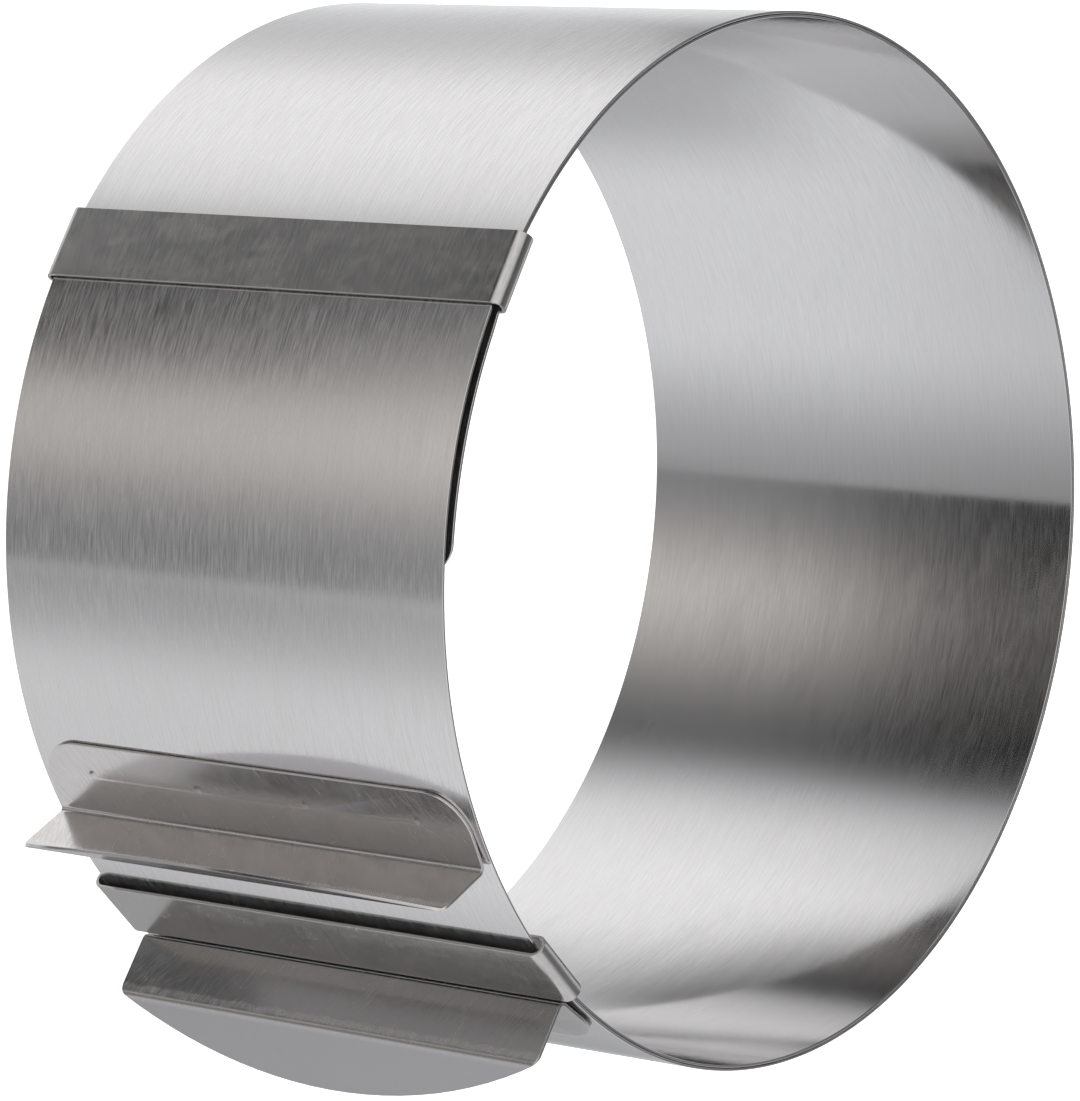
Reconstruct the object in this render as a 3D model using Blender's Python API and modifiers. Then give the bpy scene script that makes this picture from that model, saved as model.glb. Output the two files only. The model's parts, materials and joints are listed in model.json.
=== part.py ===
# Adjustable cake ring: one steel band wound nearly twice round, two folded keepers and two finger grips.
# Units are metres. The ring's axis is vertical, and the two grips face -Y.
# Every place on the ring is a wind angle in degrees, measured from -Y about the axis, growing anticlockwise
# seen from above. The band's second turn runs inside its first one.

import math

import bmesh
import bpy
from mathutils import Matrix, Vector

# Band
ring_diameter = 0.160
band_height = 0.085
band_gauge = 0.0004
band_corner_radius = 0.004
layer_gap = 0.00065
tail_bow_gap = 0.0026
tail_end_gap = 0.0019

# Keepers
keeper_width = 0.0116
keeper_gauge = 0.0005
keeper_clearance = 0.00035
keeper_edge_clearance = 0.001
keeper_return = 0.0055

# Grips
grip_gauge = 0.0005
grip_rim_inset = 0.0013
grip_clearance = 0.0003
flange_width = 0.013
flange_corner_radius = 0.007
plate_height = 0.010
lip_depth = 0.010
lip_corner_radius = 0.002
grip_bend_radius = 0.001
closing_travel = 0.0158

# Weld marks
weld_pitch = 0.0212
weld_edge_distance = 0.0052
weld_ball_radius = 0.0025
weld_depth = 0.0002
weld_count = 4

# Wind angles in degrees
keeper_mouth_angle = 0.0
end_keeper_angle = -75.9
end_keeper_lean = 2.0
dive_start_angle = -34.0
dive_end_angle = -2.0
tail_bow_angle = -56.8
tail_end_angle = -45.3
band_start_share = 0.3
lip_angle = 44.0
turn_angle = 360.0
half_turn = 180.0
quarter_turn = 90.0

# Fineness of the facets
band_step_angle = 2.5
arc_steps = 6
fold_steps = 8
lip_steps = 12
weld_segments = 16
merge_distance = 0.000001
sharp_from_angle = 30.0

# Finishes
band_colour = (0.62, 0.61, 0.60)
band_roughness = 0.30
keeper_colour = (0.50, 0.49, 0.47)
keeper_roughness = 0.26
grip_colour = (0.56, 0.55, 0.54)
grip_roughness = 0.20

# Sizes that follow from the ones above
ring_radius = ring_diameter / 2
outer_middle_radius = ring_radius - band_gauge / 2
layer_pitch = layer_gap + band_gauge
inner_face_radius = outer_middle_radius - layer_pitch - band_gauge / 2


def degrees_along(length):
    """The wind angle that a length along the band's outer turn covers."""
    return math.degrees(length / ring_radius)


def chord_drop(radius, reach):
    """How far a circle falls away from its tangent at a distance along the tangent."""
    return radius - math.sqrt(radius * radius - reach * reach)


face_radius = ring_radius + keeper_clearance
lean_shift = face_radius * math.tan(math.radians(end_keeper_lean))
channel_reach = keeper_width / 2 + lean_shift
channel_depth = (
    2 * keeper_clearance + 2 * band_gauge + layer_gap + chord_drop(inner_face_radius, channel_reach)
)
keeper_fold_radius = (channel_depth + keeper_gauge) / 2
keeper_length = band_height + 2 * (keeper_edge_clearance + keeper_gauge)
keeper_face_run = keeper_length - 2 * keeper_fold_radius - keeper_gauge
sliding_keeper_angle = keeper_mouth_angle + degrees_along(keeper_width / 2)
band_start_angle = keeper_mouth_angle + degrees_along(keeper_width * band_start_share)
fixed_grip_angle = keeper_mouth_angle - degrees_along(closing_travel)
sliding_grip_angle = keeper_mouth_angle + degrees_along(keeper_width + grip_clearance + grip_gauge / 2)
flange_half = flange_width / 2
fixed_flange_angle = fixed_grip_angle - degrees_along(flange_half)
sliding_flange_angle = sliding_grip_angle + degrees_along(flange_half)
grip_length = band_height - 2 * grip_rim_inset


def smooth_share(start, end, value):
    """0 before start, 1 after end, with an easy change between them."""
    share = min(max((value - start) / (end - start), 0.0), 1.0)
    return share * share * (3 - 2 * share)


def band_drop(angle):
    """How far the band's middle lies inside its outer turn at a wind angle."""
    dive = layer_pitch * smooth_share(turn_angle + dive_start_angle, turn_angle + dive_end_angle, angle)
    bow_at = 2 * turn_angle + tail_bow_angle
    bow = tail_bow_gap - layer_gap
    spring = bow * smooth_share(2 * turn_angle + end_keeper_angle, bow_at, angle)
    past_bow_share = max(angle - bow_at, 0.0) / (tail_end_angle - tail_bow_angle)
    closing = (tail_bow_gap - tail_end_gap) * past_bow_share * past_bow_share
    return dive + spring - closing


def ring_point(angle, radius):
    """A point in the ring's plane."""
    turn = math.radians(angle)
    return Vector((radius * math.sin(turn), -radius * math.cos(turn), 0))


def band_surface_radius(angle):
    """The outer face of the band that shows at a wind angle between the tail's end and the keeper's mouth."""
    return ring_radius - band_drop(turn_angle + angle)


def seat_radius(middle_angle):
    """How far from the axis a flat flange clears the band that curves under it."""
    steps = 2 * arc_steps
    half_angle = degrees_along(flange_half)
    highest = 0
    for step in range(steps + 1):
        offset = half_angle * (2 * step / steps - 1)
        height = band_surface_radius(middle_angle + offset) * math.cos(math.radians(offset))
        highest = max(highest, height)
    return highest + grip_clearance


def rounded_rows(length, radius, half_height):
    """Rows of a sheet whose ends have rounded corners, as pairs of distance and half height."""
    rows = []
    for step in range(arc_steps + 1):
        turn = math.radians(quarter_turn) * step / arc_steps
        rows.append((radius * (1 - math.cos(turn)), half_height - radius * (1 - math.sin(turn))))
    ending = [(length - distance, half) for distance, half in reversed(rows)]
    return rows, ending


def fold(distance, runs):
    """Where a point of a flat blank lands once it is folded. Each run is a length and the angle it turns."""
    x = 0
    y = 0
    heading = 0
    for length, turn in runs:
        used = min(distance, length)
        if turn:
            radius = length / math.radians(turn)
            swept = used / radius
            x += radius * (math.sin(heading + swept) - math.sin(heading))
            y += radius * (math.cos(heading) - math.cos(heading + swept))
            heading += swept
        else:
            x += used * math.cos(heading)
            y += used * math.sin(heading)
        distance -= used
    return x, y


def stations_along(runs, steps):
    """Distances along a blank at which its folds need an edge."""
    stations = [0]
    reached = 0
    for length, turn in runs:
        cuts = steps if turn else 1
        stations += [reached + length * (cut + 1) / cuts for cut in range(cuts)]
        reached += length
    return stations


def pulled_sheet(name, rows):
    """An open sheet made by extruding one upright edge from row to row. A row is x, y and half the height."""
    work = bmesh.new()
    x, y, half = rows[0]
    low = work.verts.new((x, y, -half))
    high = work.verts.new((x, y, half))
    edge = work.edges.new((low, high))
    for x, y, half in rows[1:]:
        pulled = bmesh.ops.extrude_edge_only(work, edges=[edge])["geom"]
        ends = sorted((g for g in pulled if isinstance(g, bmesh.types.BMVert)), key=lambda v: v.co.z)
        edge = next(g for g in pulled if isinstance(g, bmesh.types.BMEdge))
        ends[0].co = (x, y, -half)
        ends[1].co = (x, y, half)
    bmesh.ops.remove_doubles(work, verts=work.verts, dist=merge_distance)
    bmesh.ops.recalc_face_normals(work, faces=work.faces)
    mesh = bpy.data.meshes.new(name)
    work.to_mesh(mesh)
    work.free()
    mesh.shade_smooth()
    mesh.set_sharp_from_angle(angle=math.radians(sharp_from_angle))
    return mesh


def steel(name, colour, roughness):
    """A stainless steel finish."""
    material = bpy.data.materials.new(name)
    material.use_nodes = True
    shader = material.node_tree.nodes["Principled BSDF"]
    shader.inputs["Base Color"].default_value = (*colour, 1)
    shader.inputs["Metallic"].default_value = 1
    shader.inputs["Roughness"].default_value = roughness
    return material


def add_piece(mesh, gauge, material, parent, place):
    """Give a sheet its gauge and its place under a parent."""
    piece = bpy.data.objects.new(mesh.name, mesh)
    pieces.objects.link(piece)
    piece.parent = parent
    piece.matrix_local = place
    mesh.materials.append(material)
    wall = piece.modifiers.new("gauge", "SOLIDIFY")
    wall.thickness = gauge
    wall.offset = 0
    wall.use_even_offset = True
    return piece


def upright_place(angle, radius, shift, facing):
    """X along the band's run or against it, Y outwards, so that Z lies along the ring's axis."""
    turn = math.radians(angle)
    along = Vector((math.cos(turn), math.sin(turn), 0))
    out = Vector((math.sin(turn), -math.cos(turn), 0))
    side = along * facing
    middle = out * radius + along * shift
    place = Matrix((side, out, side.cross(out))).transposed().to_4x4()
    place.translation = middle
    return place


def crosswise_place(angle, radius, shift):
    """X up along the ring's axis and Y outwards, so that Z lies along the band's run."""
    turn = math.radians(angle)
    along = Vector((math.cos(turn), math.sin(turn), 0))
    out = Vector((math.sin(turn), -math.cos(turn), 0))
    place = Matrix((Vector((0, 0, 1)), out, along)).transposed().to_4x4()
    place.translation = out * radius + along * shift
    return place


def make_band(material, parent):
    """The strip, wound from its outer end under the sliding keeper to its inner end past the end keeper."""
    band_end_angle = 2 * turn_angle + tail_end_angle
    run = band_end_angle - band_start_angle
    length = math.radians(run) * ring_radius
    starting, ending = rounded_rows(length, band_corner_radius, band_height / 2)
    first = starting[-1][0]
    last = ending[0][0]
    steps = round(run / band_step_angle)
    middle = [(first + (last - first) * step / steps, band_height / 2) for step in range(1, steps)]
    rows = []
    for distance, half in starting + middle + ending:
        angle = band_start_angle + degrees_along(distance)
        point = ring_point(angle, outer_middle_radius - band_drop(angle))
        rows.append((point.x, point.y, half))
    return add_piece(pulled_sheet("steel_band", rows), band_gauge, material, parent, Matrix.Identity(4))


def make_keeper(name, angle, shift, material, parent):
    """A flat face folded back round both rims of the band."""
    fold_run = math.pi * keeper_fold_radius
    back = (fold_run, half_turn)
    runs = [(keeper_return, 0), back, (keeper_face_run, 0), back, (keeper_return, 0)]
    rows = []
    for distance in stations_along(runs, fold_steps):
        x, y = fold(distance, runs)
        rows.append((x - keeper_return + keeper_face_run / 2, y, keeper_width / 2))
    radius = face_radius + keeper_gauge / 2 - 2 * keeper_fold_radius
    place = crosswise_place(angle, radius, shift)
    return add_piece(pulled_sheet(name, rows), keeper_gauge, material, parent, place)


def lip_arc_radius(depth):
    """The radius of the lip's free edge, from its depth and the grip's length."""
    half = grip_length / 2
    return (half * half + depth * depth) / (2 * depth)


def grip_rows():
    """The folded grip: a flange with round corners, an upright plate, and a lip whose free edge is an arc."""
    bend_run = math.radians(quarter_turn) * grip_bend_radius
    lip_bend_run = math.radians(lip_angle) * grip_bend_radius
    set_back = grip_bend_radius * math.tan(math.radians(lip_angle / 2))
    flange_run = flange_width - grip_bend_radius - grip_gauge / 2
    plate_run = plate_height - grip_bend_radius - set_back
    lip_run = lip_depth - set_back
    bends = [(bend_run, quarter_turn), (plate_run, 0), (lip_bend_run, lip_angle)]
    runs = [(flange_run, 0), *bends, (lip_run, 0)]
    crease_at = flange_run + bend_run + plate_run + lip_bend_run / 2
    depth = lip_run + lip_bend_run / 2
    arc_radius = lip_arc_radius(depth)
    arc_middle = crease_at + depth - arc_radius
    corner_height = grip_length / 2 - lip_corner_radius
    corner_reach = math.sqrt((arc_radius - lip_corner_radius) ** 2 - corner_height * corner_height)
    corner_at = arc_middle + corner_reach
    corner_start_angle = math.radians(quarter_turn)
    arc_start_angle = math.atan2(corner_height, corner_reach)

    starting, _ = rounded_rows(0, flange_corner_radius, grip_length / 2)
    outline = list(starting)
    for distance in stations_along(runs, arc_steps):
        if flange_corner_radius < distance < corner_at:
            outline.append((distance, grip_length / 2))
    for step in range(arc_steps):
        turn = corner_start_angle + (arc_start_angle - corner_start_angle) * step / arc_steps
        distance = corner_at + lip_corner_radius * math.cos(turn)
        outline.append((distance, corner_height + lip_corner_radius * math.sin(turn)))
    for step in range(lip_steps + 1):
        turn = arc_start_angle * (1 - step / lip_steps)
        outline.append((arc_middle + arc_radius * math.cos(turn), arc_radius * math.sin(turn)))
    rows = []
    for distance, half in outline:
        x, y = fold(distance, runs)
        rows.append((x - flange_run - grip_bend_radius, y, half))
    return rows


def make_weld_cutter(name, parent, place):
    """Shallow round marks in a row along the flange, cut by balls that dip into its outer face."""
    work = bmesh.new()
    height = grip_gauge / 2 + weld_ball_radius - weld_depth
    around = weld_segments
    rings = weld_segments // 2
    for mark in range(weld_count):
        along = weld_pitch * (mark - (weld_count - 1) / 2)
        spot = Matrix.Translation((weld_edge_distance - flange_width, height, along))
        bmesh.ops.create_uvsphere(
            work, u_segments=around, v_segments=rings, radius=weld_ball_radius, matrix=spot
        )
    mesh = bpy.data.meshes.new(name)
    work.to_mesh(mesh)
    work.free()
    cutter = bpy.data.objects.new(name, mesh)
    cutters.objects.link(cutter)
    cutter.parent = parent
    cutter.matrix_local = place
    cutter.hide_render = True
    cutter.display_type = "WIRE"
    return cutter


def make_grip(name, flange_angle, seat, facing, material, parent):
    """A grip whose flange lies flat on the ring at a wind angle. Facing -1 turns it round."""
    place = upright_place(flange_angle, seat + grip_gauge / 2, facing * flange_half, facing)
    grip = add_piece(pulled_sheet(name, grip_rows()), grip_gauge, material, parent, place)
    marks = grip.modifiers.new("weld_marks", "BOOLEAN")
    marks.object = make_weld_cutter(name + "_weld_balls", parent, place)
    marks.operation = "DIFFERENCE"
    marks.solver = "EXACT"
    return grip


def add_empty(name, parent):
    """An empty that carries the pieces of one body."""
    empty = bpy.data.objects.new(name, None)
    pieces.objects.link(empty)
    empty.parent = parent
    return empty


def stand_on_floor(carrier, made):
    """Put the middle of the whole object's outline over the origin, with its lowest point on the floor."""
    bpy.context.view_layer.update()
    graph = bpy.context.evaluated_depsgraph_get()
    corners = []
    for piece in made:
        solid = piece.evaluated_get(graph)
        corners += [solid.matrix_world @ vertex.co for vertex in solid.data.vertices]
    lows = [min(corner[axis] for corner in corners) for axis in range(3)]
    highs = [max(corner[axis] for corner in corners) for axis in range(3)]
    carrier.location = (-(lows[0] + highs[0]) / 2, -(lows[1] + highs[1]) / 2, -lows[2])
    bpy.context.view_layer.update()


for old in list(bpy.data.objects):
    bpy.data.objects.remove(old, do_unlink=True)

pieces = bpy.data.collections.new("adjustable_cake_ring")
cutters = bpy.data.collections.new("cutters")
bpy.context.scene.collection.children.link(pieces)
bpy.context.scene.collection.children.link(cutters)

band_steel = steel("brushed_band_steel", band_colour, band_roughness)
keeper_steel = steel("keeper_steel", keeper_colour, keeper_roughness)
grip_steel = steel("grip_steel", grip_colour, grip_roughness)

ring_frame = add_empty("ring_frame", None)
slider_axis = add_empty("slider_axis", ring_frame)

band = make_band(band_steel, ring_frame)
leaned_angle = end_keeper_angle + end_keeper_lean
end_keeper = make_keeper("end_keeper", leaned_angle, -lean_shift, keeper_steel, ring_frame)
sliding_keeper = make_keeper("sliding_keeper", sliding_keeper_angle, 0, keeper_steel, slider_axis)
fixed_seat = seat_radius(fixed_flange_angle)
fixed_grip = make_grip("fixed_grip", fixed_flange_angle, fixed_seat, 1, grip_steel, ring_frame)
sliding_seat = ring_radius + grip_clearance
sliding_grip = make_grip("sliding_grip", sliding_flange_angle, sliding_seat, -1, grip_steel, slider_axis)

stand_on_floor(ring_frame, [band, end_keeper, sliding_keeper, fixed_grip, sliding_grip])
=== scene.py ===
# %% [markdown]
# The adjustable cake ring is five pieces of thin stainless steel. One long strip is wound nearly twice
# round. Two folded keepers hold its turns together, and two folded grips let the fingers open and close it.
# Every piece starts life as a flat blank, so each is modelled as one: it is cut to shape, scored, folded or
# wound, and only then given its gauge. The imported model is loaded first, because each new piece takes the
# place of one of its solids.

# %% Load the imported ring
import json
import math

import bpy
from mathutils import Matrix, Vector


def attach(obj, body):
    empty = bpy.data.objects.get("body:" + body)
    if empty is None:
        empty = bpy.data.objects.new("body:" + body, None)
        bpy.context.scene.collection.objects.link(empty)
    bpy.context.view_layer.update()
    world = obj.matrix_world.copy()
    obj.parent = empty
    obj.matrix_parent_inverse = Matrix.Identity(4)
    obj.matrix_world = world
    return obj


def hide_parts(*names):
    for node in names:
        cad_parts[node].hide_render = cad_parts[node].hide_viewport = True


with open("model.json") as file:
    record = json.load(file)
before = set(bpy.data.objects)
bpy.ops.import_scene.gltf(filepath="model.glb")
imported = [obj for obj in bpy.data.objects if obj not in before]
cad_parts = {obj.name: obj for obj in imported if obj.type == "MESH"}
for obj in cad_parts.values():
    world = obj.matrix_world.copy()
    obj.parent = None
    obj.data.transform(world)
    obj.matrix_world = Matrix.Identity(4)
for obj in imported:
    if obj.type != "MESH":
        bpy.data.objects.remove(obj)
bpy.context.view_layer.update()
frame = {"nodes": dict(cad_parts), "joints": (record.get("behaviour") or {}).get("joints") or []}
slide = frame["joints"][0]
ring_axis = Vector(slide["pos_m"])
print("nodes:", sorted(frame["nodes"]), "ring axis at", [round(part, 4) for part in ring_axis])

# %% [markdown]
# All sizes are in metres. A place on the ring is a wind angle: degrees from the side that faces -Y, growing
# anticlockwise seen from above. The strip's second turn lies inside its first one. Its tail follows the
# photograph more closely than the solid's does.

# %% Sizes of the real ring
ring_radius = 0.080
band_height = 0.085
band_gauge = 0.0004
band_corner_radius = 0.004
layer_gap = 0.00012
tail_bow_gap = 0.0015
tail_end_gap = 0.0013
keeper_width = 0.0116
keeper_gauge = 0.0005
keeper_clearance = 0.00035
keeper_fold_radius = 0.0015614
keeper_length = 0.088
keeper_return = 0.0055
grip_gauge = 0.0005
grip_clearance = 0.0003
grip_length = 0.0824
flange_width = 0.013
flange_corner_radius = 0.007
plate_height = 0.010
lip_depth = 0.010
lip_corner_radius = 0.002
grip_bend_radius = 0.001
closing_travel = 0.0158

full_turn = 360.0
end_keeper_angle = -75.9
end_keeper_lean = 2.0
dive_start_angle = -34.0
dive_end_angle = -2.0
tail_rise_angle = -81.0
tail_bow_angle = -69.0
tail_end_angle = -44.0
lip_angle = 44.0
band_start_share = 0.3
edge_rounding = 0.00009
edge_segments = 2
sharp_above = math.radians(50)
smooth_below = math.radians(14)
tiny = 0.000001


def degrees_along(length):
    """The wind angle that a length along the ring covers."""
    return math.degrees(length / ring_radius)


print("ring", 2 * ring_radius, "m across, band", band_height, "m high")

# %% [markdown]
# A blank is a flat outline with no inner edges. The tools below do what a workshop does with it. One
# rounds its corners, one scores it and one folds it at the scored lines. One lays it against the ring, and
# one gives it its gauge. Before a blank is folded, its flat measures are kept as its UV map, so that the
# grain of the rolled steel follows the sheet round every fold.

# %% Tools for sheet metal
def pick_only(piece):
    """Make one piece the active and only selected one."""
    bpy.ops.object.select_all(action="DESELECT")
    piece.select_set(True)
    bpy.context.view_layer.objects.active = piece


def pick_vertices(piece, chosen):
    """Select the vertices whose numbers are in a set, in edit mode."""
    bpy.ops.object.mode_set(mode="OBJECT")
    mesh = piece.data
    for face in mesh.polygons:
        face.select = False
    for edge in mesh.edges:
        edge.select = False
    for vertex in mesh.vertices:
        vertex.select = vertex.index in chosen
    bpy.ops.object.mode_set(mode="EDIT")
    bpy.ops.mesh.select_mode(type="VERT")


def vertices_where(piece, test):
    """The numbers of the vertices whose place passes a test."""
    if piece.mode == "EDIT":
        bpy.ops.object.mode_set(mode="OBJECT")
    return {vertex.index for vertex in piece.data.vertices if test(vertex.co)}


def flat_blank(name, length, width):
    """A rectangle of sheet from the origin along X, with its width along Y."""
    bpy.ops.object.select_all(action="DESELECT")
    bpy.ops.mesh.primitive_plane_add(size=1, location=(length / 2, 0, 0))
    piece = bpy.context.object
    piece.name = name
    piece.data.name = name
    piece.scale = (length, width, 1)
    bpy.ops.object.transform_apply(location=True, rotation=True, scale=True)
    return piece


def round_corners(piece, test, radius, segments):
    """Round the corners whose place passes a test."""
    pick_vertices(piece, vertices_where(piece, test))
    bpy.ops.mesh.bevel(offset=radius, segments=segments, affect="VERTICES", offset_type="OFFSET")
    bpy.ops.object.mode_set(mode="OBJECT")


def score(piece, places):
    """Cut an edge across the blank at each distance along it."""
    pick_only(piece)
    bpy.ops.object.mode_set(mode="EDIT")
    for place in places:
        bpy.ops.mesh.select_all(action="SELECT")
        bpy.ops.mesh.bisect(plane_co=(place, 0, 0), plane_no=(1, 0, 0))
    bpy.ops.object.mode_set(mode="OBJECT")


def keep_flat_measures(piece):
    """Store the blank's own measures, in metres, as its UV map."""
    layer = piece.data.uv_layers[0] if piece.data.uv_layers else piece.data.uv_layers.new()
    layer.name = "flat"
    for corner, loop in enumerate(piece.data.loops):
        place = piece.data.vertices[loop.vertex_index].co
        layer.data[corner].uv = (place.x, place.y)


def fold_lines(start, angle, radius, steps):
    """Where a bend needs its score lines, and how far the sheet turns at each."""
    chord = 2 * radius * math.sin(math.radians(angle) / steps / 2)
    lines = []
    for step in range(steps + 1):
        share = 0.5 if step in (0, steps) else 1
        lines.append((start + step * chord, share * math.radians(angle) / steps))
    return lines


def fold(piece, lines, side=1):
    """Fold up what lies past each line. The farthest line comes first, so the rest is still flat."""
    flat = [vertex.co.x for vertex in piece.data.vertices]
    for place, angle in sorted(lines, reverse=side > 0):
        beyond = {number for number, x in enumerate(flat) if (x - place) * side > tiny}
        pick_vertices(piece, beyond)
        bpy.ops.transform.rotate(value=angle * side, orient_axis="Y", center_override=(place, 0, 0))
    bpy.ops.object.mode_set(mode="OBJECT")


def lay_on_ring(piece, along, folds_towards, place):
    """Lay a folded blank against the ring: its X axis and the side it folds to point as asked."""
    across = folds_towards.cross(along)
    turned = Matrix((along, across, folds_towards)).transposed().to_4x4()
    turned.translation = place
    piece.matrix_world = turned
    pick_only(piece)
    bpy.ops.object.transform_apply(location=True, rotation=True, scale=True)


def give_gauge(piece, gauge):
    """Thicken the sheet to both sides, then take the sharpness off its cut edges."""
    pick_only(piece)
    wall = piece.modifiers.new("gauge", "SOLIDIFY")
    wall.thickness = gauge
    wall.offset = 0
    wall.use_even_offset = True
    wall.material_offset_rim = 1
    bpy.ops.object.modifier_apply(modifier=wall.name)
    edges = piece.modifiers.new("eased_edges", "BEVEL")
    edges.width = edge_rounding
    edges.segments = edge_segments
    edges.limit_method = "ANGLE"
    edges.angle_limit = sharp_above
    edges.use_clamp_overlap = False
    edges.material = 1
    bpy.ops.object.modifier_apply(modifier=edges.name)


def smooth_sheet(piece):
    """Shade the wound and folded faces smooth, and keep the cut edges crisp."""
    pick_only(piece)
    bpy.ops.object.shade_smooth_by_angle(angle=smooth_below)
    print(piece.name, "has", len(piece.data.polygons), "faces")


def outward(angle):
    """The direction straight out of the ring at a wind angle."""
    return Vector((math.sin(math.radians(angle)), -math.cos(math.radians(angle)), 0))


def onward(angle):
    """The direction in which the strip runs at a wind angle."""
    return Vector((math.cos(math.radians(angle)), math.sin(math.radians(angle)), 0))


up = Vector((0, 0, 1))

# %% [markdown]
# The band is one strip, 0.4 mm thick and almost a metre long. Its outer end lies under the sliding keeper.
# From there it runs once round, dips under that keeper, and goes round again inside the first turn, as far
# as its tail past the end keeper. Spin turns about one centre and can't follow such a winding, so the
# strip's leading edge is extruded from step to step along a path that says how far each place lies inside
# the first turn. One degree a step keeps the reflections in the steel smooth.

# %% The path of the winding
winding_step = 1.0
corner_room = 1.1
band_corner_segments = 10
layer_pitch = layer_gap + band_gauge
strip_middle_radius = ring_radius - band_gauge / 2
strip_start_angle = degrees_along(keeper_width * band_start_share)
strip_end_angle = 2 * full_turn + tail_end_angle


def eased_share(start, end, value):
    """0 before start, 1 after end, with an easy change between them."""
    share = min(max((value - start) / (end - start), 0), 1)
    return share * share * (3 - 2 * share)


def strip_drop(angle):
    """How far the strip lies inside its first turn at a wind angle."""
    dive = layer_pitch * eased_share(full_turn + dive_start_angle, full_turn + dive_end_angle, angle)
    bow_at = 2 * full_turn + tail_bow_angle
    bow = (tail_bow_gap - layer_gap) * eased_share(2 * full_turn + tail_rise_angle, bow_at, angle)
    past_bow = max(angle - bow_at, 0) / (tail_end_angle - tail_bow_angle)
    return dive + bow - (tail_bow_gap - tail_end_gap) * past_bow * past_bow


def strip_path():
    """Pairs of distance along the strip and place. The first and last steps hold a round corner."""
    end_step = degrees_along(band_corner_radius * corner_room)
    first = strip_start_angle + end_step
    last = strip_end_angle - end_step
    steps = round((last - first) / winding_step)
    angles = [strip_start_angle]
    angles += [first + (last - first) * step / steps for step in range(steps + 1)]
    angles.append(strip_end_angle)
    run = math.radians(ring_radius)
    return [
        (run * (angle - strip_start_angle), outward(angle) * (strip_middle_radius - strip_drop(angle)))
        for angle in angles
    ]


path = strip_path()
print("the strip is", round(path[-1][0], 3), "m long, in", len(path) - 1, "steps")

# %% [markdown]
# A narrow upright plane is the strip's first step, and its leading edge is extruded to each next place on
# the path. Distance along the strip and height are its flat measures. The corners of both ends are rounded
# last, and the strip is moved onto the ring's axis.

# %% Wind the strip
def wound_strip(name, path):
    """Extrude the strip's leading edge along the path."""
    bpy.ops.object.select_all(action="DESELECT")
    (_, start), (_, second) = path[:2]
    heading = second - start
    turned = (math.radians(90), 0, math.atan2(heading.y, heading.x))
    bpy.ops.mesh.primitive_plane_add(size=1, location=(start + second) / 2, rotation=turned)
    piece = bpy.context.object
    piece.name = name
    piece.data.name = name
    piece.scale = (heading.length, band_height, 1)
    bpy.ops.object.transform_apply(location=True, rotation=True, scale=True)
    near = heading.length / 2
    pick_vertices(piece, vertices_where(piece, lambda place: (place.xy - second.xy).length < near))
    bpy.ops.mesh.select_mode(type="EDGE")
    for (_, here), (_, there) in zip(path[1:], path[2:]):
        bpy.ops.mesh.extrude_edges_move(TRANSFORM_OT_translate={"value": there - here})
    bpy.ops.object.mode_set(mode="OBJECT")
    return piece


def keep_strip_measures(piece, path):
    """Store distance along the strip and height as the UV map. Vertices come in the path's order."""
    runs = {}
    for number, vertex in enumerate(piece.data.vertices):
        row = number // 2
        if number < 4:
            row = min((0, 1), key=lambda end: (vertex.co.xy - path[end][1].xy).length)
        runs[number] = path[row][0]
    layer = piece.data.uv_layers[0]
    layer.name = "flat"
    for corner, loop in enumerate(piece.data.loops):
        layer.data[corner].uv = (runs[loop.vertex_index], piece.data.vertices[loop.vertex_index].co.z)


band = wound_strip("wound_band", path)
keep_strip_measures(band, path)
ends = [path[0][1], path[-1][1]]
at_end = layer_gap / 2


def is_at_end(place):
    """Whether a place lies on one of the strip's two cut ends."""
    return min((place.xy - end.xy).length for end in ends) < at_end


round_corners(band, is_at_end, band_corner_radius, band_corner_segments)
band.location = ring_axis
pick_only(band)
bpy.ops.object.transform_apply(location=True, rotation=True, scale=True)
print("the wound strip has", len(band.data.polygons), "faces before it gets its gauge")

# %% [markdown]
# A keeper is a narrow strip whose two ends are folded right round the band's rims. Its flat face lies on
# the outer turn, and short returns lie on the inner one. One blank does for both keepers.

# %% Fold the keepers
fold_steps = 16
keeper_corner_radius = 0.0006
keeper_corner_segments = 4


def folded_keeper(name, angle, shift):
    """A keeper laid flat on the ring at a wind angle, shifted along the strip's run."""
    face_run = keeper_length - 2 * keeper_fold_radius - keeper_gauge
    fold_run = 2 * keeper_fold_radius * math.sin(math.radians(180) / fold_steps / 2) * fold_steps
    length = face_run + 2 * (fold_run + keeper_return)
    piece = flat_blank(name, length, keeper_width)
    round_corners(piece, lambda place: True, keeper_corner_radius, keeper_corner_segments)
    far_lines = fold_lines(length - keeper_return - fold_run, 180, keeper_fold_radius, fold_steps)
    near_lines = [(length - place, turn) for place, turn in far_lines]
    score(piece, [place for place, _ in far_lines + near_lines])
    keep_flat_measures(piece)
    fold(piece, far_lines)
    fold(piece, near_lines, side=-1)
    face_at = ring_radius + keeper_clearance + keeper_gauge / 2
    middle = ring_axis + outward(angle) * face_at + onward(angle) * shift
    lay_on_ring(piece, up, -outward(angle), middle - up * length / 2)
    print(name, "is folded from", round(1000 * length, 1), "x", round(1000 * keeper_width, 1), "mm")
    return piece


lean_shift = (ring_radius + keeper_clearance) * math.tan(math.radians(end_keeper_lean))
tail_keeper = folded_keeper("tail_keeper", end_keeper_angle + end_keeper_lean, -lean_shift)
mouth_keeper = folded_keeper("mouth_keeper", degrees_along(keeper_width / 2), 0)

# %% [markdown]
# A grip is one folded sheet as well: a flange with two large round corners lies on the ring, a plate
# stands up from it for the fingertip, and past a crease a lip leans back over the flange and ends in a long
# arc. An arc that long can't be had by rounding corners, so its outline is drawn with spin from one corner
# of the blank to the other and then filled.

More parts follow.
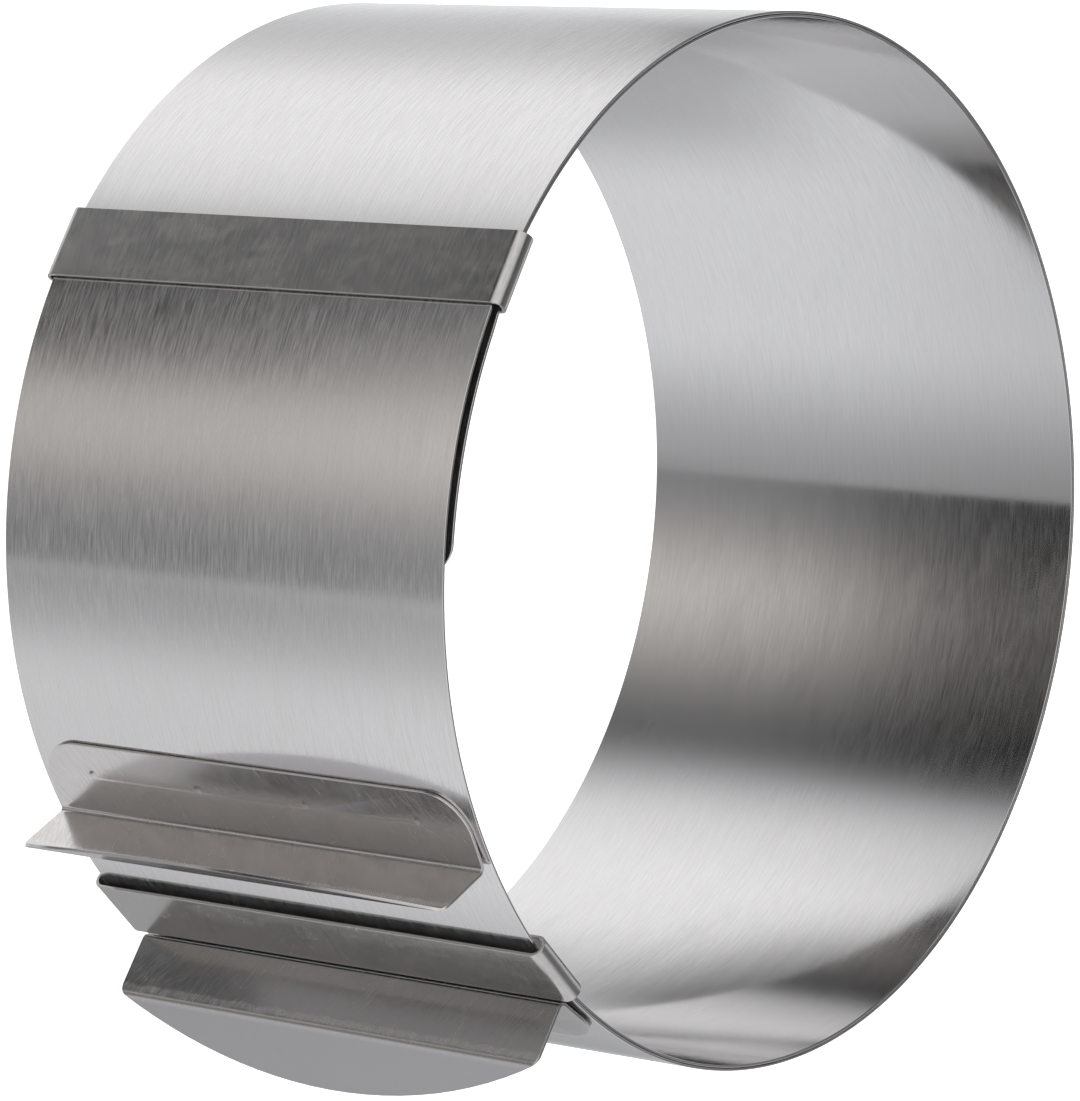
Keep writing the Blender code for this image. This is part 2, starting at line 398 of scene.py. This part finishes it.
# %% Cut and fold the grips
bend_steps = 8
arc_segments = 24
flange_corner_segments = 12
lip_corner_segments = 8
lip_set_back = grip_bend_radius * math.tan(math.radians(lip_angle / 2))


def bend_chords(angle):
    """How long a bend's facets are together."""
    return 2 * grip_bend_radius * math.sin(math.radians(angle) / bend_steps / 2) * bend_steps


flange_run = flange_width - grip_bend_radius - grip_gauge / 2
plate_run = plate_height - grip_bend_radius - lip_set_back
plate_start = flange_run + bend_chords(90)
lip_start = plate_start + plate_run
crease_at = lip_start + bend_chords(lip_angle) / 2
lip_reach = lip_depth - lip_set_back + bend_chords(lip_angle) / 2
lip_arc_radius = (grip_length ** 2 / 4 + lip_reach ** 2) / (2 * lip_reach)


def draw_lip_arc(piece):
    """Replace the blank's straight end by an arc, drawn with spin, and fill the outline with one face."""
    end = crease_at - tiny
    pick_vertices(piece, vertices_where(piece, lambda place: place.x > end))
    bpy.ops.mesh.select_mode(type="EDGE")
    bpy.ops.mesh.delete(type="EDGE")
    bpy.ops.object.mode_set(mode="OBJECT")
    pick_vertices(piece, vertices_where(piece, lambda place: place.x > end and place.y < 0))
    arc_angle = 2 * math.asin(grip_length / 2 / lip_arc_radius)
    middle = (crease_at + lip_reach - lip_arc_radius, 0, 0)
    bpy.ops.mesh.spin(steps=arc_segments, angle=-arc_angle, center=middle, axis=(0, 0, 1))
    bpy.ops.mesh.select_all(action="SELECT")
    bpy.ops.mesh.remove_doubles(threshold=0.00001)
    bpy.ops.mesh.edge_face_add()
    bpy.ops.object.mode_set(mode="OBJECT")


def grip_blank(name):
    """The grip's flat outline, with its round corners and the lip's arc."""
    piece = flat_blank(name, crease_at, grip_length)
    draw_lip_arc(piece)
    round_corners(piece, lambda place: place.x < tiny, flange_corner_radius, flange_corner_segments)
    corner_turn = math.radians(90) - math.asin(grip_length / 2 / lip_arc_radius)
    corner_run = lip_corner_radius * math.tan(corner_turn / 2)
    near = 0.0001
    round_corners(
        piece,
        lambda place: abs(place.x - crease_at) < near and abs(place.y) > grip_length / 2 - near,
        corner_run,
        lip_corner_segments,
    )
    return piece


def folded_grip(name, node, flange_angle, facing):
    """A grip laid on the ring at a wind angle, as near to it as its solid is. Facing -1 turns it round."""
    piece = grip_blank(name)
    plate_bend = fold_lines(flange_run, 90, grip_bend_radius, bend_steps)
    lip_bend = fold_lines(lip_start, lip_angle, grip_bend_radius, bend_steps)
    score(piece, [place for place, _ in plate_bend + lip_bend])
    keep_flat_measures(piece)
    fold(piece, plate_bend + lip_bend)
    out = outward(flange_angle)
    solid = frame["nodes"][node].data.vertices
    seat = min((vertex.co - ring_axis).dot(out) for vertex in solid) + grip_gauge / 2
    middle = ring_axis + out * seat
    along = onward(flange_angle) * facing
    lay_on_ring(piece, along, out, middle - along * (flange_width - grip_gauge) / 2)
    reach = crease_at + lip_reach
    print(name, "is folded from", round(1000 * reach, 1), "x", round(1000 * grip_length, 1), "mm")
    return piece


fixed_plate_angle = -degrees_along(closing_travel)
sliding_plate_angle = degrees_along(keeper_width + grip_clearance + grip_gauge / 2)
half_flange_angle = degrees_along(flange_width / 2)
fixed_flange_angle = fixed_plate_angle - half_flange_angle
sliding_flange_angle = sliding_plate_angle + half_flange_angle
left_grip = folded_grip("left_grip", "fixed_grip", fixed_flange_angle, 1)
right_grip = folded_grip("right_grip", "sliding_grip", sliding_flange_angle, -1)

# %% [markdown]
# Now every sheet gets its gauge. The cut edges are eased by a tenth of a millimetre, so that they catch the
# light as a deburred edge does. The welds show on each flange as four shallow round marks, pressed in here
# by small balls that a Boolean takes away.

# %% Gauge, edges and weld marks
weld_pitch = 0.0212
weld_edge_distance = 0.0052
weld_ball_radius = 0.0025
weld_depth = 0.00012
weld_count = 4
ball_segments = 32
ball_rings = 24


def press_weld_marks(piece, flange_angle, facing):
    """Press a row of shallow round marks into a flange."""
    out = outward(flange_angle)
    face = min((corner.co - ring_axis).dot(out) for corner in piece.data.vertices) + grip_gauge
    along = onward(flange_angle) * facing * (weld_edge_distance - (flange_width - grip_gauge) / 2)
    for mark in range(weld_count):
        height = weld_pitch * (mark - (weld_count - 1) / 2)
        place = ring_axis + out * (face + weld_ball_radius - weld_depth) + along + up * height
        bpy.ops.object.select_all(action="DESELECT")
        bpy.ops.mesh.primitive_uv_sphere_add(
            segments=ball_segments, ring_count=ball_rings, radius=weld_ball_radius, location=place
        )
        ball = bpy.context.object
        pick_only(piece)
        dent = piece.modifiers.new("weld_mark", "BOOLEAN")
        dent.operation = "DIFFERENCE"
        dent.solver = "EXACT"
        dent.object = ball
        bpy.ops.object.modifier_apply(modifier=dent.name)
        bpy.data.objects.remove(ball)


gauges = {band: band_gauge, tail_keeper: keeper_gauge, mouth_keeper: keeper_gauge}
gauges.update({left_grip: grip_gauge, right_grip: grip_gauge})
for piece, gauge in gauges.items():
    give_gauge(piece, gauge)
press_weld_marks(left_grip, fixed_flange_angle, 1)
press_weld_marks(right_grip, sliding_flange_angle, -1)
for piece in gauges:
    smooth_sheet(piece)

# %% [markdown]
# Shader sums read best as Python sums. A wire is one socket of a node tree, and adding or multiplying wires
# adds Math nodes. Every other node comes from one method that takes its type, its settings and its sockets.

# %% Wires between nodes
class Wire:
    """A socket of a node tree that can be added, multiplied and so on."""

    def __init__(self, tree, socket=None):
        self.tree = tree
        self.socket = socket

    def feed(self, socket, value):
        """Give an input socket a wire or a plain value."""
        if isinstance(value, Wire):
            self.tree.links.new(value.socket, socket)
        else:
            socket.default_value = value

    def node(self, kind, settings, sockets, output=0):
        """Add a node with these settings, feed its input sockets, and return one output as a wire."""
        made = self.tree.nodes.new(kind)
        for name, value in settings.items():
            setattr(made, name, value)
        for name, value in sockets.items():
            self.feed(made.inputs[name], value)
        return Wire(self.tree, made.outputs[output])

    def math(self, operation, *values):
        return self.node("ShaderNodeMath", {"operation": operation}, dict(enumerate(values)))

    def __add__(self, other):
        return self.math("ADD", self, other)

    def __sub__(self, other):
        return self.math("SUBTRACT", self, other)

    def __rsub__(self, other):
        return self.math("SUBTRACT", other, self)

    def __mul__(self, other):
        return self.math("MULTIPLY", self, other)

    __radd__ = __add__
    __rmul__ = __mul__


def tint(wire, first, second):
    """A colour between two colours, by a wire from 0 to 1. Each colour is a wire or three numbers."""
    sockets = {"Factor": wire}
    for name, colour in (("A", first), ("B", second)):
        sockets[name] = colour if isinstance(colour, Wire) else (*colour, 1)
    return wire.node("ShaderNodeMix", {"data_type": "RGBA"}, sockets, 2)


def eased_step(wire, start, end):
    """0 before start and 1 after end, with an easy change between them. Start may be the larger."""
    settings = {"interpolation_type": "SMOOTHSTEP"}
    return wire.node("ShaderNodeMapRange", settings, {"Value": wire, "From Min": start, "From Max": end})


def between(wire, begins, full_from, full_to, ends):
    """1 between two values and 0 outside them, with an easy change on both sides."""
    return eased_step(wire, begins, full_from) * (1 - eased_step(wire, full_to, ends))

# %% [markdown]
# Bare steel has hardly any colour of its own: it shows the room. So the room is the most important finish.
# It is a white studio with soft bright and dark panels standing round the table, and each band of light or
# shade on the ring is one of them. A panel is given by the compass angles at which it begins, is full, is
# still full and has ended, on the same scale as the wind angles. One of them, a dark card, has a hard end.
#
# Nearly every sheet of the ring stands upright, so a line of sight that comes down to it goes on down as
# steeply as before. Such a sheet shows only the part of the room below the horizon, and a height there is a
# place across the picture: 43 degrees below the horizon is its left side, 33 its right side. Heights are
# given as panels are. A dark shelf low in the room makes the dark right side of the inner wall. Only the
# cut edges and the folds over the rim look up, to a dark part of the ceiling.

# %% The studio
white_of_room = 0.84
low_part_ends = (-12.0, 8.0)
panels = [
    # begins, full from, full to, ends, what it adds
    (-187, -150, -140, -100, 0.38),
    (-124, -97, -38, 2, -0.45),
    (-97, -62, -62, -35, 0.28),
    (110, 135, 145, 172, 0.16),
    (85, 110, 185, 205, -0.115),
]
card = [
    (-124, -97, 30, 31, -0.24),
    (-97, -62, 30, 31, 0.13),
]
card_end = -33.0
card_end_lean = 2.5
card_lean_heights = (-37.0, -39.5)
card_end_blur = 0.35

lowest = (-91, -90)
highest = (90, 91)
patches = [
    # panel, heights, what it adds: a bright line beside the card, and a grey foot on the far side
    ((-31.2, -30.6, -28.0, -27.0), (*lowest, -39.0, -37.5), 0.06),
    ((35, 66, 108, 128), (*lowest, -36.6, -35.8), -0.33),
]
shelf_heights = (-35.8, -33.2, -28.0, -16.0)
shelf_shade = 0.22
under_shelf_heights = (-35.8, -34.3, -16.0, -6.0)
under_shelf_panel = (-110, -92, 30, 31)
under_shelf_shade = 0.90
far_panel = (135, 160, 192, 218)
far_heights = (-37.5, -35.0, *highest)
far_shade = 0.30
rim_panel = (155, 183, 202, 228)
rim_heights = (-37.5, -36.5, *highest)
rim_slope = 0.057
rim_shade = 0.70
tones = [
    # panel, heights, the share by which it brightens or darkens
    ((-124, -97, 60, 90), (-42.5, -37.5, *highest), 0.15),
    ((-125, -106, -66, -44), (-38.0, -36.4, *highest), 0.18),
    ((-104, -84, -35, -10), (-42.0, -38.6, -38.2, -37.6), 0.24),
    ((-112, -95, -84, -68), (*lowest, -43.0, -39.5), -0.55),
    ((-62, -45, -22, -6), (*lowest, -38.5, -36.0), -0.13),
    ((60, 100, 160, 200), (20.0, 34.0, *highest), -0.75),
]
warm_panels = [
    # begins, full from, full to, ends, how warm
    (-104, -74, -56, -36, 1.0),
    (-200, -165, -130, -104, 0.2),
]
cool_white = (0.985, 0.994, 1.015)
warm_white = (1.045, 1.0, 0.955)


def panel(azimuth, begins, full_from, full_to, ends):
    """1 inside a panel and 0 outside it, with an easy change on both sides."""
    offset = azimuth.math("WRAP", azimuth - begins, full_turn, 0.0)
    rise = eased_step(offset, 0.0, full_from - begins)
    return rise - eased_step(offset, full_to - begins, ends - begins)


def panels_and_card(azimuth, elevation, past_card):
    """The white room with its tall panels, and the card as far as its hard end."""
    low_part = 1 - eased_step(elevation, *low_part_ends)
    white = white_of_room + 0 * azimuth
    for *angles, share in panels:
        white = white + low_part * panel(azimuth, *angles) * share
    for *angles, share in card:
        white = white + low_part * panel(azimuth, *angles) * (1 - past_card) * share
    for angles, heights, share in patches:
        white = white + panel(azimuth, *angles) * between(elevation, *heights) * share
    return white


def room_light(azimuth, elevation):
    """How bright the room is in a direction."""
    lean = card_end_lean - eased_step(elevation, *card_lean_heights) * 2 * card_end_lean
    past_card = eased_step(azimuth + lean, card_end - card_end_blur, card_end + card_end_blur)
    white = panels_and_card(azimuth, elevation, past_card)
    shelf = between(elevation, *shelf_heights)
    under_shelf = between(elevation, *under_shelf_heights) * panel(azimuth, *under_shelf_panel)
    white = white * (1 - shelf_shade * shelf) * (1 - under_shelf_shade * under_shelf * (1 - past_card))
    far = panel(azimuth, *far_panel) * between(elevation, *far_heights)
    compass = azimuth.math("WRAP", azimuth, full_turn, 0.0)
    over_rim = elevation - (compass - full_turn / 2) * rim_slope
    rim = panel(azimuth, *rim_panel) * between(over_rim, *rim_heights)
    white = (white - far * far_shade) * (1 - rim * rim_shade)
    for angles, heights, share in tones:
        white = white * (1 + panel(azimuth, *angles) * between(elevation, *heights) * share)
    return white


def build_studio():
    """The room as a world whose brightness and warmth depend on the direction alone."""
    world = bpy.data.worlds.new("studio")
    world.use_nodes = True
    bpy.context.scene.world = world
    tree = world.node_tree
    start = Wire(tree)
    direction = start.node("ShaderNodeTexCoord", {}, {}, "Generated")
    parts = start.node("ShaderNodeSeparateXYZ", {}, {0: direction}).socket.node.outputs
    east, north, height = (Wire(tree, parts[name]) for name in "XYZ")
    azimuth = start.math("ARCTAN2", east, 0 - north) * math.degrees(1)
    elevation = start.math("ARCSINE", height) * math.degrees(1)
    warmth = 0 * azimuth
    for *angles, share in warm_panels:
        warmth = warmth + panel(azimuth, *angles) * share
    background = tree.nodes["Background"]
    tree.links.new(tint(warmth, cool_white, warm_white).socket, background.inputs["Color"])
    tree.links.new(room_light(azimuth, elevation).socket, background.inputs["Strength"])


build_studio()
print("the studio has", len(panels), "tall panels, one card and", len(tones), "soft tones")

# %% [markdown]
# The ring stands on a wide white table that is lit as evenly as the photograph's plain ground. It is kept
# out of the reflections, where the lower half of the studio takes its place.

# %% The table
floor_reach = 4.0
floor_drop = 0.0001
floor_white = 0.9
bpy.ops.object.select_all(action="DESELECT")
bpy.ops.mesh.primitive_plane_add(size=2 * floor_reach, location=(0, 0, -floor_drop))
floor = bpy.context.object
floor.name = "table"
floor.visible_glossy = False


def pale_floor():
    """A lit white table top."""
    material = bpy.data.materials.new("lit_table")
    material.use_nodes = True
    shader = material.node_tree.nodes["Principled BSDF"]
    shader.inputs["Base Color"].default_value = (floor_white, floor_white, floor_white, 1)
    shader.inputs["Roughness"].default_value = 0.9
    shader.inputs["Emission Color"].default_value = (1, 1, 1, 1)
    shader.inputs["Emission Strength"].default_value = 1.0
    return material


floor.data.materials.append(pale_floor())
print("the table reaches", floor_reach, "m to each side")

# %% [markdown]
# The camera is where the photograph was taken from: a long lens, 0.83 m from the ring, looking down on its
# rim, with the camera turned on its side. Its place was found by fitting the ring's outline.

# %% The camera
focal_pixels = 5355
picture_height = 1101
camera_place = Vector((-0.50287, -0.41184, 0.56100))
camera_right = Vector((0.41586, 0.46970, 0.77874))
camera_down = Vector((0.67942, -0.72967, 0.07729))

camera_data = bpy.data.cameras.new("camera")
camera = bpy.data.objects.new("camera", camera_data)
bpy.context.scene.collection.objects.link(camera)
bpy.context.scene.camera = camera
camera_data.sensor_width = 36
camera_data.lens = camera_data.sensor_width * focal_pixels / picture_height
camera_data.clip_start = 0.01
camera_data.clip_end = 20
facing_back = camera_right.cross(-camera_down)
camera.matrix_world = Matrix((camera_right, -camera_down, facing_back)).transposed().to_4x4()
camera.location = camera_place
bpy.context.scene.view_settings.view_transform = "Standard"
distance = (camera_place - ring_axis).length
print("the camera is", round(distance, 2), "m away, with a lens of", round(camera_data.lens), "mm")

# %% [markdown]
# Rolling and brushing draw fine lines along a sheet. That grain is a noise drawn out along the flat
# measures that every blank kept. Each metal also has a haze, which is what Metallic lacks of 1: brushed
# lines scatter some light, so they show pale where the steel mirrors something dark.

# %% Tools for the finishes
quarter_turn = 0.25


def drawn_noise(flat, long, wide, detail=2, turn=0, offset=0, wander=0):
    """A noise with grains so long and so wide, in metres. It can be turned, moved and made to wander."""
    sockets = {
        "Vector": flat,
        "Location": (offset, offset, 0),
        "Rotation": (0, 0, math.radians(turn)),
        "Scale": (1, 1, 1),
    }
    turned = flat.node("ShaderNodeMapping", {"vector_type": "TEXTURE"}, sockets)
    stretch = {0: turned, 1: (1 / long, 1 / wide, 0)}
    drawn = flat.node("ShaderNodeVectorMath", {"operation": "MULTIPLY"}, stretch)
    sockets = {"Vector": drawn, "Scale": 1, "Detail": detail, "Roughness": 0.6, "Distortion": wander}
    return flat.node("ShaderNodeTexNoise", {}, sockets)


def marks(flat, begins, full, **grains):
    """Marks where a drawn noise is strong: none below one value of the noise, full above another."""
    return eased_step(drawn_noise(flat, **grains), begins, full)


def how_far_along(flat):
    """The distance along the sheet, in metres."""
    return flat.node("ShaderNodeSeparateXYZ", {}, {0: flat})


def new_steel(name, anisotropy):
    """A metal, its shader and a wire that carries the sheet's flat measures."""
    material = bpy.data.materials.new(name)
    material.use_nodes = True
    tree = material.node_tree
    shader = tree.nodes["Principled BSDF"]
    shader.inputs["Anisotropic"].default_value = anisotropy
    shader.inputs["Anisotropic Rotation"].default_value = quarter_turn
    flat = Wire(tree).node("ShaderNodeUVMap", {"uv_map": "flat"}, {})
    return material, shader, flat


def finish_steel(shader, colour, roughness, height, haze):
    """Feed a metal's colour, roughness, relief and haze. The relief is a height in metres."""
    relief = height.node("ShaderNodeBump", {}, {"Height": height, "Distance": 1.0, "Strength": 1.0})
    height.feed(shader.inputs["Base Color"], colour)
    height.feed(shader.inputs["Roughness"], roughness)
    height.feed(shader.inputs["Metallic"], 1 - haze)
    height.feed(shader.inputs["Normal"], relief)

# %% [markdown]
# The strip was brushed along its length: lines a quarter of a millimetre wide and half a centimetre long, a
# little duller and browner than the clean steel. Broad low waves in the sheet break the edges of the
# reflections, and faint smears and rub marks run across them. The second turn lies inside, where little
# rubs it, so it is cleaner. It begins about half a metre along the strip.

# %% The strip's steel
second_turn = (0.48, 0.52)
clean_strip = (0.655, 0.652, 0.653)
warm_strip = (0.657, 0.641, 0.643)
worn_strip = (0.545, 0.532, 0.528)


def band_finish():
    """The strip: fine grain along its run, low waves, smears and a few rub marks, less of all inside."""
    material, shader, flat = new_steel("band_steel", 0.35)
    grain = marks(flat, long=0.0045, wide=0.00024, begins=0.36, full=0.66, detail=3, wander=0.4)
    streaks = marks(flat, long=0.013, wide=0.0006, begins=0.40, full=0.75, offset=3, wander=0.3)
    waves = drawn_noise(flat, long=0.020, wide=0.0060, detail=1, offset=5)
    ripples = drawn_noise(flat, long=0.005, wide=0.0012, detail=1, offset=7)
    smears = marks(flat, long=0.020, wide=0.009, begins=0.45, full=0.8, detail=3, turn=30, offset=9)
    rubs = marks(flat, long=0.005, wide=0.0002, begins=0.70, full=0.80, detail=1, turn=38, offset=11)
    patches = marks(flat, long=0.012, wide=0.0022, begins=0.42, full=0.7, detail=3, offset=15, wander=0.5)
    inner_turn = eased_step(how_far_along(flat), *second_turn)
    wear = (grain * 0.5 + streaks * 0.3 + rubs * 0.2) * (1 - inner_turn * 0.6)
    colour = tint(wear, tint(patches, clean_strip, warm_strip), worn_strip)
    dulled = (grain * 0.055 + streaks * 0.04) * (1 - inner_turn * 0.7)
    roughness = 0.085 + dulled + smears * 0.03 + rubs * 0.05
    height = waves * 0.000006 + ripples * 0.0000012 + grain * 0.0000003 - rubs * 0.0000004
    haze = (grain * 0.14 + streaks * 0.05 + smears * 0.02) * (1 - inner_turn * 0.6)
    finish_steel(shader, colour, roughness, height, haze)
    return material


band_steel = band_finish()
print("the strip's steel has", len(band_steel.node_tree.nodes), "nodes")

# %% [markdown]
# The keepers are a plainer, darker sheet. Their grain lies across them, and the strip has scuffed them.

# %% The keepers' steel
clean_keeper = (0.52, 0.51, 0.50)
worn_keeper = (0.42, 0.405, 0.395)


def keeper_finish():
    """Keepers: plainer, darker sheet, grain across the keeper, and scuffs where the strip rubs."""
    material, shader, flat = new_steel("keeper_steel", 0.3)
    grain = marks(flat, long=0.00035, wide=0.0040, begins=0.3, full=0.72, detail=3, offset=1, wander=0.4)
    waves = drawn_noise(flat, long=0.018, wide=0.006, detail=1, offset=5)
    smears = marks(flat, long=0.008, wide=0.0035, begins=0.35, full=0.8, detail=4, offset=9, wander=0.5)
    scuffs = marks(flat, long=0.0004, wide=0.005, begins=0.68, full=0.85, detail=1, turn=8, offset=4)
    colour = tint(grain * 0.5 + smears * 0.4 + scuffs * 0.1, clean_keeper, worn_keeper)
    roughness = 0.17 + grain * 0.06 + smears * 0.07 + scuffs * 0.03
    finish_steel(shader, colour, roughness, waves * 0.000006, grain * 0.06 + smears * 0.05)
    return material


keeper_steel = keeper_finish()
print("the keepers' steel has", len(keeper_steel.node_tree.nodes), "nodes")

# %% [markdown]
# The grips were brushed at a slant and scratched a little. Along both creases runs a soft line, bright and
# a little ragged, that is partly wear and partly a painted highlight of the bend. The lip is smoother and
# darker than the plate. The sliding grip lies where X is above 0, and is painted darker than the fixed one:
# a painted shade for the darker surroundings that it reflects.

# %% The grips' steel
clean_grip = (0.62, 0.603, 0.597)
dull_grip = (0.51, 0.493, 0.485)
scratched_grip = (0.72, 0.70, 0.68)
# the bright crease colour is partly wear and partly a painted highlight of the bend
worn_highlit_crease = (0.76, 0.74, 0.73)
lip_sheet = (0.42, 0.42, 0.435)
# painted shade: the sliding grip's darker colour stands for the darker surroundings it reflects
painted_slider_shade = (0.27, 0.268, 0.272)
line_sway = 0.0016
lip_begins = (crease_at + 0.0004, crease_at + 0.0014)
slider_shade_begins = (0.0, 0.004)


def grip_finish():
    """Grips: brushed at a slant, waved a little, with a line of wear and painted highlight along both
    creases, an even lip, and painted shade on the sliding grip.
    """
    material, shader, flat = new_steel("grip_steel", 0.2)
    grain = marks(flat, long=0.0035, wide=0.00025, begins=0.33, full=0.72, turn=30, wander=0.4)
    scratches = marks(flat, long=0.006, wide=0.00018, begins=0.58, full=0.78, detail=1, turn=26, offset=2)
    waves = drawn_noise(flat, long=0.012, wide=0.020, detail=1, offset=5)
    smears = marks(flat, long=0.004, wide=0.007, begins=0.35, full=0.8, detail=4, offset=9, wander=0.5)
    run = how_far_along(flat)
    ragged = drawn_noise(flat, long=0.0100, wide=0.0035, detail=3, offset=6) * line_sway
    off_lip_line = run.math("ABSOLUTE", run - (crease_at - line_sway) - ragged)
    off_plate_line = run.math("ABSOLUTE", run - flange_run - ragged)
    # painted highlight: a bright line along each crease, partly wear and partly the highlight of the bend
    crease_wear_and_highlight = eased_step(off_lip_line, 0.0009, 0.0003) + eased_step(off_plate_line, 0.0005, 0.0001) * 0.5
    nicks_and_highlight = crease_wear_and_highlight * (0.5 + marks(flat, long=0.0080, wide=0.0012, begins=0.35, full=0.75, offset=13) * 0.4)
    on_lip = eased_step(run, *lip_begins)
    place = flat.node("ShaderNodeTexCoord", {}, {}, "Object")
    slider_shade_mask = eased_step(flat.node("ShaderNodeSeparateXYZ", {}, {0: place}), *slider_shade_begins)
    plain = tint(grain * 0.6 + smears * 0.3, clean_grip, dull_grip)
    marked = tint(nicks_and_highlight * 0.6, tint(scratches * 0.4, plain, scratched_grip), worn_highlit_crease)
    # painted shade: the sliding grip is painted darker than the fixed one
    colour = tint(slider_shade_mask * 0.45, tint(on_lip * 0.85, marked, lip_sheet), painted_slider_shade)
    roughness = 0.15 + (grain * 0.08 + smears * 0.06 + scratches * 0.05) * (1 - on_lip) + nicks_and_highlight * 0.08
    height = waves * 0.000006 + (grain * 0.0000003 + scratches * 0.0000004) * (1 - on_lip)
    haze = grain * 0.08 + smears * 0.03 + scratches * 0.05 + nicks_and_highlight * 0.10
    finish_steel(shader, colour, roughness, height, haze)
    return material


grip_steel = grip_finish()
print("the grips' steel has", len(grip_steel.node_tree.nodes), "nodes")

# %% [markdown]
# A sheared edge is rougher than the sheet, with fine lines and with bright spots where the burr was taken
# off; the spots are partly bared steel and partly painted glints. On the second turn the edge lies in the
# shade of the gap between the turns, so it is painted nearly black there: a painted shade.

# %% The cut edges
# the second turn's edge gets painted shade, for the gap between the turns
edge_shade_range = (0.50, 0.52)
sheared_steel = (0.30, 0.29, 0.285)
# bright spots: partly bared steel, partly painted glints
bared_and_glinting_steel = (0.58, 0.57, 0.56)
painted_edge_shade = (0.12, 0.115, 0.11)
line_scale = 2600
spot_scale = 700


def edge_finish():
    """Cut edges: sheared, with fine lines, bright spots partly painted as glints, and painted shade on the
    second turn.
    """
    material, shader, flat = new_steel("cut_edge", 0.0)
    place = flat.node("ShaderNodeTexCoord", {}, {}, "Object")
    lines = place.node("ShaderNodeTexNoise", {}, {"Vector": place, "Scale": line_scale, "Detail": 2})
    bared_spots_and_glints = place.node("ShaderNodeTexNoise", {}, {"Vector": place, "Scale": spot_scale, "Detail": 1})
    # painted glints: the bright spots are partly bared steel and partly painted sparkle
    bared_spots_and_glints = eased_step(bared_spots_and_glints, 0.5, 0.7)
    bare = tint(lines * 0.6 + bared_spots_and_glints * 0.4, sheared_steel, bared_and_glinting_steel)
    # painted shade: the second turn's edge is painted nearly black
    colour = tint(eased_step(how_far_along(flat), *edge_shade_range), bare, painted_edge_shade)
    finish_steel(shader, colour, 0.42 - bared_spots_and_glints * 0.15, lines * 0.000004, lines * 0.1)
    return material


cut_edge = edge_finish()
print("the cut edges have", len(cut_edge.node_tree.nodes), "nodes")

# %% [markdown]
# Last, each new piece takes the place of one solid. It rides on the same body as that solid, so that it
# moves with the sliding keeper or stands still with the ring, and its first material is the steel it is
# made of.

# %% Put the pieces on their bodies
dressed = [
    (band, "steel_band", "ring", "band_steel", band_steel),
    (tail_keeper, "end_keeper", "ring", "keeper_steel", keeper_steel),
    (left_grip, "fixed_grip", "ring", "grip_steel", grip_steel),
    (mouth_keeper, "sliding_keeper", "slider", "keeper_steel", keeper_steel),
    (right_grip, "sliding_grip", "slider", "grip_steel", grip_steel),
]
for piece, node, body, slot, finish in dressed:
    piece.data.materials.clear()
    piece.data.materials.append(finish)
    piece.data.materials.append(cut_edge)
    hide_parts(node)
    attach(piece, body)
    print(piece.name, "takes the place of", node, "on the", body)
